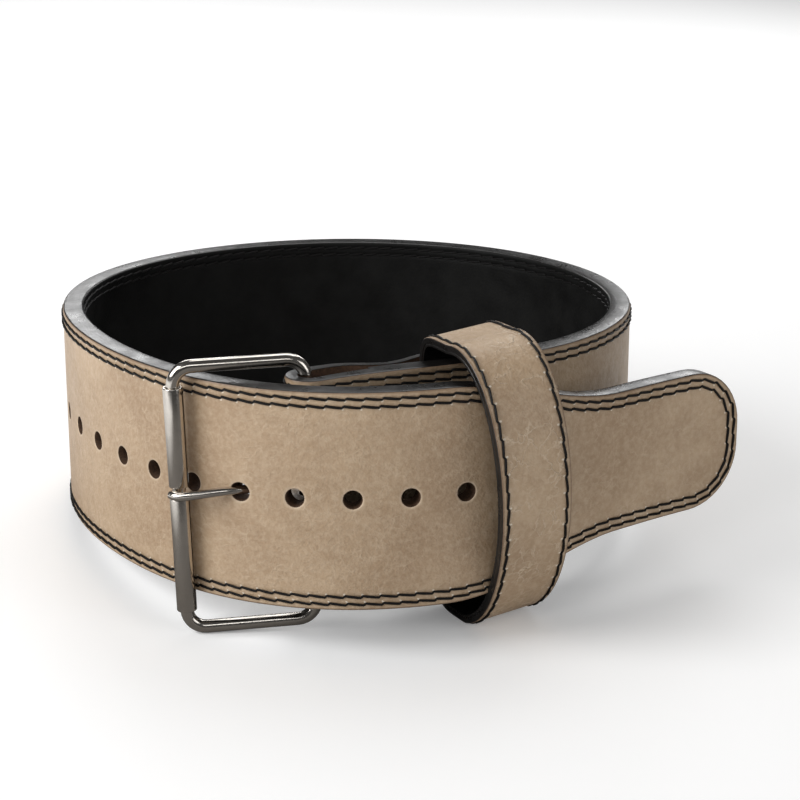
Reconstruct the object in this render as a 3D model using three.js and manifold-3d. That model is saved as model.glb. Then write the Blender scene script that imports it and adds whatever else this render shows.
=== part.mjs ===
// A wide leather lifting belt, closed by a roller buckle, with a keeper loop round its tail.
// Millimetres and degrees, +Z up. The belt is laid out with its lower edge at height 0,
// then leaned back until it rests on the buckle, the keeper and its own rear edge.
import * as THREE from 'three';
import { mergeVertices } from 'three/addons/utils/BufferGeometryUtils.js';
import Module from 'manifold-3d';

const wasm = await Module();
wasm.setup();

// Strap: one thick leather with a lining glued inside
const strap = {
  length: 1080,
  width: 100,
  leather: 6.8,
  lining: 2.9,
  bevel: 1.1,
};

// Tail: the strap narrows and ends in a round tip
const tail = {
  width: 66.8,
  taper: 93,
  straight: 73.5,
  tipRadius: 28,
};

// Row of holes; the prong sits in one of them
const holes = {
  diameter: 8.5,
  pitch: 25.4,
  towardTip: 4,
  awayFromTip: 6,
  tipToProng: 259,
  height: 51.5,
};

// Buckle wire, roller sleeves and prong
const buckle = {
  wire: 6,
  depth: 58,
  room: 8,
  corner: 8.5,
  drop: 4.6,
  lean: 1.8,
};
const roller = { diameter: 9, wall: 1.2 };
const prong = {
  diameter: 4,
  eyeHeight: 50.6,
  entryAlong: 6,
  entryDepth: 13.3,
  exitAlong: 8,
  tipHeight: 48.4,
  tipPast: 3.2,
};

// Folded end: thinned leather round the rear bar, then a free flap on the inside
const fold = {
  leather: 5.5,
  slack: 2.4,
  flap: 4,
  flapReach: 92,
  flapCloses: { from: 14, to: 36 },
  slotHeight: 12,
  liningStart: 26,
};

// Keeper: a loose leather loop, bowed out in front of the tail
const keeper = {
  width: 36,
  leather: 2.5,
  lining: 1.3,
  fromProng: 127,
  bow: 16.5,
  frontReach: 40,
  height: 134,
  sag: 3,
  skew: 0.6,
  pitch: 4.5,
  frontRise: 0.24,
  rearSquare: 6,
};

// Clearances between pieces that touch or pass each other
const glueGap = 0.3;
const runningGap = 0.3;
const tunnelGap = 0.6;

// Cutters run this far, past both faces of what they cut
const cutterReach = 40;

// How finely curved pieces are divided, and places are looked for
const strapStep = 10;
const flapStep = 4;
const tipSteps = 8;
const foldSteps = 12;
const wireSides = 12;
const cornerSteps = 6;
const rodSteps = 24;
const holeSides = 20;
const keeperSteps = 44;
const scanStep = 0.5;
const halvings = 40;
const settlings = 6;
const mergeWithin = 1e-4;

// Run of the strap's outer face from the rear bar to the tip, seen from above:
// share of the strap's length, and the turn to the left over that stretch in degrees
const startHeading = 31.1;
const bends = [
  { share: 0.024, turn: -8.7 },
  { share: 0.023, turn: -1.7 },
  { share: 0.028, turn: 5.7 },
  { share: 0.037, turn: 14.0 },
  { share: 0.046, turn: 25.0 },
  { share: 0.056, turn: 31.8 },
  { share: 0.056, turn: 28.5 },
  { share: 0.083, turn: 36.9 },
  { share: 0.065, turn: 26.4 },
  { share: 0.056, turn: 22.9 },
  { share: 0.046, turn: 21.6 },
  { share: 0.056, turn: 30.7 },
  { share: 0.046, turn: 22.4 },
  { share: 0.037, turn: 12.1 },
  { share: 0.037, turn: 9.8 },
  { share: 0.032, turn: 10.4 },
  { share: 0.051, turn: 26.5 },
  { share: 0.037, turn: 20.0 },
  { share: 0.037, turn: 16.2 },
  { share: 0.046, turn: 13.8 },
  { share: 0.042, turn: 2.8 },
  { share: 0.059, turn: -6.5 },
];

// Sizes that follow from the ones above
const beltThickness = strap.leather + glueGap + strap.lining;
const keeperWall = keeper.leather + glueGap + keeper.lining;
const wireRadius = buckle.wire / 2;
const frameHeight = strap.width + 2 * buckle.room + buckle.wire;
const prongRadius = prong.diameter / 2;
const prongPlace = strap.length - holes.tipToProng;
const foldRadius = fold.leather + fold.slack + wireRadius;
const eyeMiddle = wireRadius + runningGap + prongRadius;
const { degToRad, lerp, smoothstep } = THREE.MathUtils;

// Point and heading of the outer face at a distance along the strap
function strapAt(along) {
  let x = 0;
  let y = 0;
  let heading = degToRad(startHeading);
  let left = along;
  for (const [row, bend] of bends.entries()) {
    const full = bend.share * strap.length;
    const curvature = degToRad(bend.turn) / full;
    const run = row === bends.length - 1 ? left : Math.min(left, full);
    const end = heading + curvature * run;
    x += (Math.sin(end) - Math.sin(heading)) / curvature;
    y -= (Math.cos(end) - Math.cos(heading)) / curvature;
    heading = end;
    left -= run;
    if (left <= 0) break;
  }
  return {
    point: new THREE.Vector3(x, y, 0),
    forward: new THREE.Vector3(Math.cos(heading), Math.sin(heading), 0),
    inward: new THREE.Vector3(-Math.sin(heading), Math.cos(heading), 0),
    heading,
  };
}

// A point at a depth inward of the outer face, at a height
function inside(place, depth, height = 0) {
  return place.point.clone().addScaledVector(place.inward, depth).setZ(height);
}

// Half the strap's width at a distance along it: full, tapered, narrow, then the round tip
function halfWidthAt(along) {
  const taperEnd = strap.length - tail.straight;
  const blend = smoothstep(along, taperEnd - tail.taper, taperEnd);
  const half = lerp(strap.width, tail.width, blend) / 2;
  const intoTip = Math.max(0, along - (strap.length - tail.tipRadius));
  const drop = Math.sqrt(Math.max(0, tail.tipRadius ** 2 - intoTip ** 2));
  return half - tail.tipRadius + drop;
}

// Joins rings of equal count into one closed body; a closed loop of rings needs no end caps
function loft(rings, loop = false) {
  const count = rings[0].length;
  const positions = rings.flat().flatMap((p) => [p.x, p.y, p.z]);
  const index = [];
  const spans = loop ? rings.length : rings.length - 1;
  for (let r = 0; r < spans; r++) {
    const a = r * count;
    const b = ((r + 1) % rings.length) * count;
    for (let k = 0; k < count; k++) {
      const n = (k + 1) % count;
      index.push(a + k, b + k, b + n, a + k, b + n, a + n);
    }
  }
  if (!loop) {
    const last = (rings.length - 1) * count;
    for (let k = 1; k < count - 1; k++) {
      index.push(0, k, k + 1);
      index.push(last, last + k + 1, last + k);
    }
  }
  const geometry = new THREE.BufferGeometry();
  geometry.setAttribute('position', new THREE.Float32BufferAttribute(positions, 3));
  geometry.setIndex(index);
  return facingOut(geometry);
}

// Turns the faces over where the enclosed volume comes out negative
function facingOut(geometry) {
  const p = geometry.attributes.position;
  const index = geometry.index.array;
  const corner = (i) => new THREE.Vector3().fromBufferAttribute(p, index[i]);
  let volume = 0;
  for (let i = 0; i < index.length; i += 3) {
    volume += corner(i).dot(corner(i + 1).cross(corner(i + 2)));
  }
  if (volume < 0) {
    for (let i = 0; i < index.length; i += 3) {
      [index[i + 1], index[i + 2]] = [index[i + 2], index[i + 1]];
    }
  }
  return geometry;
}

// A geometry with only shared positions, as a solid for joining and cutting
function toSolid(geometry) {
  const bare = geometry.clone();
  bare.deleteAttribute('normal');
  bare.deleteAttribute('uv');
  const merged = mergeVertices(bare, mergeWithin);
  return new wasm.Manifold(new wasm.Mesh({
    numProp: 3,
    vertProperties: new Float32Array(merged.attributes.position.array),
    triVerts: new Uint32Array(merged.index.array),
  }));
}

// A solid back as a geometry
function toGeometry(solid) {
  const mesh = solid.getMesh();
  const geometry = new THREE.BufferGeometry();
  geometry.setAttribute('position', new THREE.BufferAttribute(mesh.vertProperties, 3));
  geometry.setIndex(new THREE.BufferAttribute(mesh.triVerts, 1));
  return geometry;
}

// A round rod along a curve
function rod(curve, radius) {
  const section = new THREE.Shape();
  section.absarc(0, 0, radius, 0, 2 * Math.PI);
  return new THREE.ExtrudeGeometry(section, {
    steps: rodSteps,
    curveSegments: wireSides / 2,
    extrudePath: curve,
  });
}

// Buckle places: the rear bar stands inside the fold, the front bar lies on the strap's face
const leanSlope = Math.sin(degToRad(buckle.lean));
const rearBar = inside(strapAt(0), foldRadius);
const barStandoff = roller.diameter / 2 + runningGap + leanSlope * strap.width / 2;

// Distance along the strap at which the front bar is one buckle depth from the rear bar
function findFrontBar() {
  let near = prongPlace;
  let far = prongPlace - 2 * buckle.depth;
  for (let i = 0; i < halvings; i++) {
    const middle = (near + far) / 2;
    const gap = inside(strapAt(middle), -barStandoff).distanceTo(rearBar);
    if (gap < buckle.depth) near = middle;
    else far = middle;
  }
  return near;
}
const frontPlace = strapAt(findFrontBar());
const frontBar = inside(frontPlace, -barStandoff);
const buckleYaw = Math.atan2(frontBar.y - rearBar.y, frontBar.x - rearBar.x);
const frontMiddle = strap.width / 2 - buckle.drop - buckle.depth * leanSlope / 2;
const rearMiddle = frontMiddle + buckle.depth * leanSlope;

// Keeper places, on axes along the loop, outward and upward
const keeperPlace = strapAt(prongPlace + keeper.fromProng);
const keeperYaw = keeperPlace.heading + degToRad(keeper.skew);
const keeperAlong = new THREE.Vector3(Math.cos(keeperYaw), Math.sin(keeperYaw), 0);
const keeperInward = new THREE.Vector3(-Math.sin(keeperYaw), Math.cos(keeperYaw), 0);
const keeperFront = keeperPlace.point.clone().addScaledVector(keeperInward, -keeper.bow);
const keeperMiddle = strap.width / 2 - keeper.sag;

// Depth from the keeper's front to the inner face of the folded end that it wraps
function depthOfBillet() {
  let deepest = 0;
  const last = fold.flapReach + keeper.width;
  for (let along = fold.liningStart; along < last; along += scanStep) {
    const offset = inside(strapAt(along), beltThickness).sub(keeperFront);
    const beside = Math.abs(offset.dot(keeperAlong));
    if (beside < keeper.width / 2) deepest = Math.max(deepest, offset.dot(keeperInward));
  }
  return deepest;
}

// The loop's rear is deep enough that its rounded corners clear the strap's edges too
function depthOfLoop() {
  const tilt = Math.sin(degToRad(keeper.pitch)) * keeper.width / 2;
  const edge = strap.width / 2 + keeper.sag + tilt + runningGap;
  const share = edge / (keeper.height / 2 - keeperWall);
  const atEdge = (1 - share ** keeper.rearSquare) ** (1 / keeper.rearSquare);
  const behind = depthOfBillet() + 2 * runningGap - keeper.frontReach;
  return keeper.frontReach + behind / atEdge + keeperWall;
}
const keeperDepth = depthOfLoop();

// Keeper outline at a turn of the loop: depth from its front, and height from its middle.
// The front is half an ellipse whose foremost point rides high; the rear is squared off.
function keeperOutline(angle, inset) {
  const c = Math.cos(angle);
  const s = Math.sin(angle);
  const halfHeight = keeper.height / 2 - inset;
  if (c >= 0) {
    const reach = keeper.frontReach - inset;
    const rise = keeper.frontRise * reach * c;
    return [keeper.frontReach - reach * c, halfHeight * s + rise];
  }
  const reach = keeperDepth - keeper.frontReach - inset;
  const power = 2 / keeper.rearSquare;
  return [
    keeper.frontReach + reach * Math.abs(c) ** power,
    halfHeight * Math.sign(s) * Math.abs(s) ** power,
  ];
}

// Place along the strap where the folded end enters the keeper
function billetEntry() {
  let along = fold.liningStart;
  const beside = () => inside(strapAt(along), beltThickness + keeperWall)
    .sub(keeperFront).dot(keeperAlong);
  while (beside() < -keeper.width / 2) along += scanStep;
  return along;
}

// Gap between the folded end's inner face and the flap: wide at the bar, closed at the
// stitching, then open again round the keeper's rear wall
const flapOpen = billetEntry() - 1;
function flapDepthAt(along) {
  const place = strapAt(along);
  const { from, to } = fold.flapCloses;
  const atBar = 2 * foldRadius - fold.leather;
  const stitched = beltThickness + runningGap;
  const closed = lerp(atBar, stitched, smoothstep(along, from, to));
  const rear = keeperFront.clone().addScaledVector(keeperInward, keeperDepth + runningGap);
  const toRear = rear.sub(place.point).dot(keeperInward) / place.inward.dot(keeperInward);
  return lerp(closed, toRear, smoothstep(along, to, flapOpen));
}

// Section across the strap: square at the glued side, bevelled at the shown side
function section(shown, glued, half) {
  const middle = strap.width / 2;
  const b = strap.bevel;
  const shoulder = shown.clone().lerp(glued, b / shown.distanceTo(glued));
  return [
    shown.clone().setZ(middle - half + b),
    shown.clone().setZ(middle + half - b),
    shoulder.clone().setZ(middle + half),
    glued.clone().setZ(middle + half),
    glued.clone().setZ(middle - half),
    shoulder.clone().setZ(middle - half),
  ];
}

// Distances along the strap for its sections, closer together round the tip
function stations(start) {
  const tipStart = strap.length - tail.tipRadius;
  const count = Math.ceil((tipStart - start) / strapStep);
  const list = [];
  for (let i = 0; i < count; i++) list.push(start + (tipStart - start) * i / count);
  for (let i = 0; i <= tipSteps; i++) {
    list.push(tipStart + tail.tipRadius * Math.sin(Math.PI / 2 * i / tipSteps));
  }
  return list;
}

// Leather strap from the tip, round the rear bar and back along the flap
function strapBody() {
  const rings = [];
  for (const along of stations(0).reverse()) {
    const place = strapAt(along);
    const thin = smoothstep(along, 0, fold.liningStart);
    const thickness = lerp(fold.leather, strap.leather, thin);
    rings.push(section(inside(place, 0), inside(place, thickness), halfWidthAt(along)));
  }
  const foot = strapAt(0);
  const half = strap.width / 2;
  for (let i = 1; i < foldSteps; i++) {
    const angle = Math.PI * i / foldSteps;
    const out = foot.inward.clone().multiplyScalar(-Math.cos(angle));
    out.addScaledVector(foot.forward, -Math.sin(angle));
    const outer = rearBar.clone().addScaledVector(out, foldRadius);
    const inner = rearBar.clone().addScaledVector(out, foldRadius - fold.leather);
    rings.push(section(outer, inner, half));
  }
  const flapSteps = Math.ceil(fold.flapReach / flapStep);
  for (let i = 0; i <= flapSteps; i++) {
    const along = fold.flapReach * i / flapSteps;
    const place = strapAt(along);
    const near = flapDepthAt(along);
    const thin = smoothstep(along, 0, fold.flapCloses.to);
    const thickness = lerp(fold.leather, fold.flap, thin);
    rings.push(section(inside(place, near + thickness), inside(place, near), half));
  }
  return toSolid(loft(rings));
}

// Lining on the inside of the strap, from beside the buckle to the tip
function liningBody() {
  const rings = [];
  const from = strap.leather + glueGap;
  for (const along of stations(fold.liningStart)) {
    const place = strapAt(along);
    rings.push(section(inside(place, beltThickness), inside(place, from), halfWidthAt(along)));
  }
  return toSolid(loft(rings));
}

// Cutter for one hole, square to the strap
function holeCutter(number) {
  const place = strapAt(prongPlace + number * holes.pitch);
  const radius = holes.diameter / 2;
  const cutter = new THREE.CylinderGeometry(radius, radius, cutterReach, holeSides);
  const turn = new THREE.Quaternion().setFromUnitVectors(
    new THREE.Vector3(0, 1, 0), place.inward);
  const centre = inside(place, beltThickness / 2, holes.height);
  cutter.applyQuaternion(turn).translate(centre.x, centre.y, centre.z);
  return toSolid(cutter);
}

// Prong route from its eye, through the strap, to its tip on the front bar
function prongRoute() {
  const hole = strapAt(prongPlace);
  const at = (along, out, height) => hole.point.clone()
    .addScaledVector(hole.forward, along)
    .addScaledVector(hole.inward, -out)
    .setZ(height);
  const toFront = frontBar.clone().sub(rearBar).setZ(0).normalize();
  const rest = inside(frontPlace, -barStandoff - eyeMiddle, prong.tipHeight);
  const past = rest.clone().addScaledVector(frontPlace.forward, -prong.tipPast);
  const before = rest.clone().addScaledVector(frontPlace.forward, prong.diameter);
  const level = holes.height - runningGap;
  return new THREE.CatmullRomCurve3([
    rearBar.clone().addScaledVector(toFront, eyeMiddle).setZ(prong.eyeHeight),
    at(prong.entryAlong, -prong.entryDepth, prong.eyeHeight),
    at(0, -beltThickness / 2, level),
    at(-prong.exitAlong, prongRadius + 2 * runningGap, level),
    before,
    rest,
    past,
  ], false, 'centripetal');
}

// Slot in the fold that lets the prong's eye through
function slotCutter() {
  const foot = strapAt(0);
  const eyeReach = buckle.wire + 2 * (runningGap + prong.diameter);
  const long = foldRadius + eyeReach;
  const cutter = new THREE.BoxGeometry(long, cutterReach, fold.slotHeight);
  cutter.rotateZ(foot.heading);
  const centre = rearBar.clone().addScaledVector(foot.forward, (eyeReach - foldRadius) / 2);
  cutter.translate(centre.x, centre.y, prong.eyeHeight);
  return toSolid(cutter);
}

// Buckle frame: wire swept once round a rounded rectangle, front bar at a depth from the rear
function frameGeometry() {
  const rings = [];
  const corners = [
    { x: buckle.depth, z: 1, from: 0 },
    { x: 0, z: 1, from: 90 },
    { x: 0, z: -1, from: 180 },
    { x: buckle.depth, z: -1, from: 270 },
  ];
  for (const corner of corners) {
    const centreX = corner.x === 0 ? buckle.corner : buckle.depth - buckle.corner;
    const centreZ = corner.z * (frameHeight / 2 - buckle.corner);
    for (let i = 0; i <= cornerSteps; i++) {
      const angle = degToRad(corner.from + 90 * i / cornerSteps);
      const out = new THREE.Vector3(Math.cos(angle), 0, Math.sin(angle));
      const centre = new THREE.Vector3(centreX, 0, centreZ).addScaledVector(out, buckle.corner);
      rings.push(Array.from({ length: wireSides }, (_, k) => {
        const turn = 2 * Math.PI * k / wireSides;
        const p = centre.clone().addScaledVector(out, wireRadius * Math.cos(turn));
        return p.setY(wireRadius * Math.sin(turn));
      }));
    }
  }
  return loft(rings, true);
}

// Roller sleeve on the front bar, from one height to another
function sleeveGeometry(low, high) {
  const outer = roller.diameter / 2;
  const inner = outer - roller.wall;
  const profile = [
    new THREE.Vector2(inner, low),
    new THREE.Vector2(outer, low),
    new THREE.Vector2(outer, high),
    new THREE.Vector2(inner, high),
    new THREE.Vector2(inner, low),
  ];
  return new THREE.LatheGeometry(profile, 2 * wireSides).rotateX(Math.PI / 2);
}

// Keeper layer between two insets from its outer surface, bevelled where it shows
function keeperLayer(outerInset, innerInset, bevel) {
  const half = keeper.width / 2;
  const rings = [];
  for (let i = 0; i < keeperSteps; i++) {
    const angle = 2 * Math.PI * i / keeperSteps;
    const [outerY, outerZ] = keeperOutline(angle, outerInset);
    const [innerY, innerZ] = keeperOutline(angle, innerInset);
    const shoulder = bevel / (innerInset - outerInset);
    const y = lerp(outerY, innerY, shoulder);
    const z = lerp(outerZ, innerZ, shoulder);
    rings.push([
      new THREE.Vector3(-half + bevel, outerY, outerZ),
      new THREE.Vector3(half - bevel, outerY, outerZ),
      new THREE.Vector3(half, y, z),
      new THREE.Vector3(half, innerY, innerZ),
      new THREE.Vector3(-half, innerY, innerZ),
      new THREE.Vector3(-half, y, z),
    ]);
  }
  return loft(rings, true);
}

// Materials, one for each piece
const leatherLook = { color: 0xb39f83, roughness: 0.62, metalness: 0 };
const liningLook = { color: 0x161616, roughness: 0.72, metalness: 0 };
const steelLook = { color: 0xbcb4aa, roughness: 0.28, metalness: 1 };
function piece(name, geometry, look) {
  geometry.computeVertexNormals();
  const mesh = new THREE.Mesh(geometry, new THREE.MeshStandardMaterial(look));
  mesh.name = name;
  return mesh;
}

// Strap and lining, with the holes and the prong's slanting way cut through both
const tunnel = toSolid(rod(prongRoute(), prongRadius + tunnelGap));
let strapSolid = strapBody().subtract(slotCutter());
let liningSolid = liningBody();
for (let number = -holes.awayFromTip; number <= holes.towardTip; number++) {
  const cutter = holeCutter(number);
  strapSolid = strapSolid.subtract(cutter);
  liningSolid = liningSolid.subtract(cutter);
}
const leather = new THREE.Group();
leather.add(
  piece('belt_strap', toGeometry(strapSolid.subtract(tunnel)), leatherLook),
  piece('belt_lining', toGeometry(liningSolid.subtract(tunnel)), liningLook),
);

// Prong: its rod joined to the eye round the rear bar
const eye = new THREE.TorusGeometry(eyeMiddle, prongRadius, wireSides, 2 * wireSides);
eye.translate(rearBar.x, rearBar.y, prong.eyeHeight);
const prongSolid = toSolid(rod(prongRoute(), prongRadius)).add(toSolid(eye));

// Buckle frame and sleeves stand on the rear bar's own axes
const frame = new THREE.Group();
frame.position.copy(rearBar).setZ(rearMiddle);
frame.rotation.set(0, degToRad(buckle.lean), buckleYaw, 'ZYX');
frame.add(piece('buckle_frame', frameGeometry(), steelLook));
const sleeveEnd = frameHeight / 2 - buckle.corner - runningGap;
const sleeveGap = prongRadius + 2 * runningGap;
const tipLevel = prong.tipHeight - frontMiddle;
const sleeves = [
  ['buckle_roller_upper', tipLevel + sleeveGap, sleeveEnd],
  ['buckle_roller_lower', -sleeveEnd, tipLevel - sleeveGap],
];
for (const [name, low, high] of sleeves) {
  const sleeve = piece(name, sleeveGeometry(low, high), steelLook);
  sleeve.position.x = buckle.depth;
  frame.add(sleeve);
}

// Keeper loop on its own axes, pitched a little up towards the tip
const loop = new THREE.Group();
loop.position.copy(keeperFront).setZ(keeperMiddle);
loop.rotation.set(0, -degToRad(keeper.pitch), keeperYaw, 'ZYX');
loop.add(
  piece('keeper_band', keeperLayer(0, keeper.leather, strap.bevel / 2), leatherLook),
  piece('keeper_lining', keeperLayer(keeper.leather + glueGap, keeperWall, 0), liningLook),
);

// The whole belt
const belt = new THREE.Group();
belt.add(leather, piece('buckle_prong', toGeometry(prongSolid), steelLook), frame, loop);

// All corners of a named piece, in the belt's axes
function cornersOf(name) {
  const mesh = belt.getObjectByName(name);
  const p = mesh.geometry.attributes.position;
  return Array.from({ length: p.count }, (_, i) =>
    new THREE.Vector3().fromBufferAttribute(p, i).applyMatrix4(mesh.matrixWorld));
}

// Direction square to the floor that touches the buckle, the keeper and the strap's rear edge
function restingUp() {
  belt.updateMatrixWorld(true);
  const frameCorners = cornersOf('buckle_frame');
  const keeperCorners = cornersOf('keeper_band');
  const rim = cornersOf('belt_strap');
  const up = new THREE.Vector3(0, 0, 1);
  const lowest = (list) => list.reduce((a, b) => (b.dot(up) < a.dot(up) ? b : a));
  for (let i = 0; i < settlings; i++) {
    const left = lowest(frameCorners);
    const across = lowest(keeperCorners).clone().sub(left);
    let best = null;
    for (const corner of rim) {
      const back = corner.clone().sub(left);
      if (back.y < strap.width) continue;
      const normal = across.clone().cross(back).normalize();
      if (!best || back.dot(best) < 0) best = normal;
    }
    up.copy(best);
  }
  return up;
}
belt.quaternion.setFromUnitVectors(restingUp(), new THREE.Vector3(0, 0, 1));

// Origin at the middle of the floor under the belt
const model = new THREE.Group();
model.add(belt);
model.updateMatrixWorld(true);
const box = new THREE.Box3().setFromObject(model, true);
const middle = box.getCenter(new THREE.Vector3());
belt.position.sub(new THREE.Vector3(middle.x, middle.y, box.min.z));

export default model;
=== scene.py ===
"""A wide leather lifting belt with a roller buckle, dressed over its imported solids."""

import math
from bisect import bisect

import bmesh
import bpy
from bpy.props import FloatProperty, FloatVectorProperty, PointerProperty
from mathutils import Matrix, Vector


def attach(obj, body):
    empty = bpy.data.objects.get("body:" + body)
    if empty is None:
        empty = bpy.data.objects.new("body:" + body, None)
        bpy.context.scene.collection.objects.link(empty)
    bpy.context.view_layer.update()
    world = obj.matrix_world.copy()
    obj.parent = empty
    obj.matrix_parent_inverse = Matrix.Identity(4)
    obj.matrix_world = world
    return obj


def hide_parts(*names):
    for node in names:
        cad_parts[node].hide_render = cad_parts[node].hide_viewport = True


bl_info = {
    "name": "Lifting belt",
    "version": (1, 0, 0),
    "blender": (4, 5, 0),
    "location": "View3D > Sidebar > Belt",
    "description": "A leather lifting belt with a roller buckle, modelled over its solids",
    "category": "Add Mesh",
}

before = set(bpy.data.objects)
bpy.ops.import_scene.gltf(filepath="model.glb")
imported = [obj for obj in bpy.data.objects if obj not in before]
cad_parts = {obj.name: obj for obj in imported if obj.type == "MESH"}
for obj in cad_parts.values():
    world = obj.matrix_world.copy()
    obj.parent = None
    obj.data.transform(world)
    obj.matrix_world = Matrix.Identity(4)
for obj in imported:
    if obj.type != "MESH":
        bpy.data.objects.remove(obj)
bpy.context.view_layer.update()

MM = 0.001
TINY = 1e-6

# The run of the strap's outer face from the rear bar to the tip, seen from above:
# share of the strap's length, and the turn to the left over that stretch in degrees
START_HEADING = 31.1
BENDS = (
    (0.024, -8.7), (0.023, -1.7), (0.028, 5.7), (0.037, 14.0), (0.046, 25.0),
    (0.056, 31.8), (0.056, 28.5), (0.083, 36.9), (0.065, 26.4), (0.056, 22.9),
    (0.046, 21.6), (0.056, 30.7), (0.046, 22.4), (0.037, 12.1), (0.037, 9.8),
    (0.032, 10.4), (0.051, 26.5), (0.037, 20.0), (0.037, 16.2), (0.046, 13.8),
    (0.042, 2.8), (0.059, -6.5),
)

# How the closed belt leans when it rests on the floor, and where it stands
REST_TURN = (-4.37601, -1.98087, -0.07569)
REST_PLACE = (-28.754, -128.171, 21.183)

# Places in the strap's own axes, in millimetres and degrees
BUCKLE_PLACE = (-5.63, 9.333, 46.311)
BUCKLE_YAW = -172.1695
BUCKLE_LEAN = 1.8
KEEPER_PLACE = (94.026, -11.132, 47.0)
KEEPER_YAW = 29.6333
KEEPER_PITCH = -4.5
PRONG_ROUTE = (
    (-10.881, 8.611, 50.6), (-24.84, 2.075, 50.6), (-33.73, -3.009, 51.2),
    (-44.154, -6.629, 51.2), (-63.147, -5.209, 48.4), (-66.319, -2.771, 48.4),
)
CAMERA_PLACE = (33.83, -900.44, 374.75)
CAMERA_PITCH = 17.484

# Holes beyond the prong's, towards the tip, and holes before it
HOLES_TO_TIP = 4
HOLES_FROM_TIP = 6

# The flat sheet: rows and columns of cells, and the band worked ring by ring at the edge
HOLE_CELLS = 12
BLOCK_CELLS = 3
OUTER_ROWS = 8
COLUMN_STEP = 3 * MM
BAND = 9 * MM
TIP_STEPS = 12
STRAP_ROUNDING = 1.1 * MM
KEEPER_ROUNDING = 0.7 * MM
KEEPER_COLUMNS = 200
SHARP_ANGLE = 38

# Distances from the edge up to which the edge paint reaches
STRAP_PAINTED = 0.5 * MM
KEEPER_PAINTED = 0.4 * MM

# Half the width of a stitch row's groove, at the top and near the bottom
GROOVE_TOP = 0.9 * MM
GROOVE_BED = 0.35 * MM

# Stretches behind the bar over which the flap closes on the strap, then meets the keeper
FLAP_CLOSES = (14 * MM, 36 * MM)
FLAP_MEETS_KEEPER = (36 * MM, 56 * MM)

# Painted highlights beside the stitch holes: their radius, and how far inside the row they lie
NEEDLE_HIGHLIGHT_RADIUS = 0.36 * MM
NEEDLE_HIGHLIGHT_INSIDE = 1.0 * MM

# A hole's rim from the outside in: shares of its lip, out from the hole and down
HOLE_LIP = 0.7 * MM
RIM_PROFILE = ((1.6, 0.0), (1.0, 0.04), (0.55, 0.16), (0.2, 0.42), (0.0, 0.85))
FAR_FROM_BORE = 20 * MM
AT_BORE = 0.3 * MM


def rest_matrix():
    """The turn and move that set the belt down on the floor."""
    x, y, z = (math.radians(angle) for angle in REST_TURN)
    turn = Matrix.Rotation(x, 4, "X") @ Matrix.Rotation(y, 4, "Y") @ Matrix.Rotation(z, 4, "Z")
    return Matrix.Translation(Vector(REST_PLACE) * MM) @ turn


def standing_matrix(place, yaw, lean):
    """A piece's own axes on the belt: a place, a turn about the height and a lean."""
    turn = Matrix.Rotation(math.radians(yaw), 4, "Z") @ Matrix.Rotation(math.radians(lean), 4, "Y")
    return rest_matrix() @ Matrix.Translation(Vector(place) * MM) @ turn


def buckle_matrix():
    return standing_matrix(BUCKLE_PLACE, BUCKLE_YAW, BUCKLE_LEAN)


def mix(a, b, share):
    return a + (b - a) * share


def ease(value, low, high):
    """A smooth climb from 0 to 1 between two values."""
    share = min(1.0, max(0.0, (value - low) / (high - low)))
    return share * share * (3 - 2 * share)


def number(default, name, description, unit="NONE"):
    return FloatProperty(name=name, description=description, default=default, unit=unit)


def length(default, name, description):
    return number(default, name, description, "LENGTH")


def watts(default, name, description):
    return number(default, name, description, "POWER")


def colour(default, name, description):
    return FloatVectorProperty(name=name, description=description, default=default, size=3,
                               subtype="COLOR")


class BeltSizes(bpy.types.PropertyGroup):
    """Sizes of the strap, its lining and its holes"""
    strap_length: length(1.080, "Strap length", "From the rear bar to the tip")
    strap_width: length(0.100, "Strap width", "Width of the strap away from the tail")
    leather: length(0.0068, "Leather", "Thickness of the tan leather")
    lining: length(0.0029, "Lining", "Thickness of the black lining")
    glue_gap: length(0.0003, "Glue line", "Room between leather and lining")
    tail_width: length(0.0668, "Tail width", "Width of the narrowed tail")
    tail_taper: length(0.093, "Tail taper", "Length over which the strap narrows")
    tail_straight: length(0.0735, "Tail", "Length of the narrow end")
    tip_radius: length(0.028, "Tip radius", "Radius of the tip's two corners")
    hole_diameter: length(0.0085, "Hole", "Diameter of the punched holes")
    hole_pitch: length(0.0254, "Hole pitch", "Distance from hole to hole")
    hole_height: length(0.0515, "Hole height", "Height of the holes over the lower edge")
    prong_along: length(0.821, "Prong hole", "Distance of the prong's hole along the strap")
    fold_leather: length(0.0055, "Fold leather", "Thickness where the strap folds round the bar")
    fold_slack: length(0.0024, "Fold slack", "Room between the fold and the bar")
    flap_leather: length(0.004, "Flap leather", "Thickness of the flap inside the fold")
    flap_reach: length(0.092, "Flap reach", "Length of the flap behind the fold")
    slot_reach: length(0.0146, "Slot reach", "How far the prong's slot runs past the bar")
    lining_start: length(0.026, "Lining start", "Where the lining begins beside the buckle")


class StitchSizes(bpy.types.PropertyGroup):
    """Sizes of the stitch rows"""
    pitch: length(0.0079, "Stitch length", "Distance from stitch to stitch")
    outer_row: length(0.0030, "Outer row", "Distance of the outer row from the edge")
    inner_row: length(0.0065, "Inner row", "Distance of the inner row from the edge")
    keeper_row: length(0.0028, "Keeper row", "Distance of the keeper's rows from its edges")
    thread: length(0.00125, "Thread", "Diameter of the waxed thread")
    lean: length(0.00040, "Lean", "How far each stitch's ends stand off its row")
    groove: length(0.00028, "Groove", "How deep the thread pulls the leather in")


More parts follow.
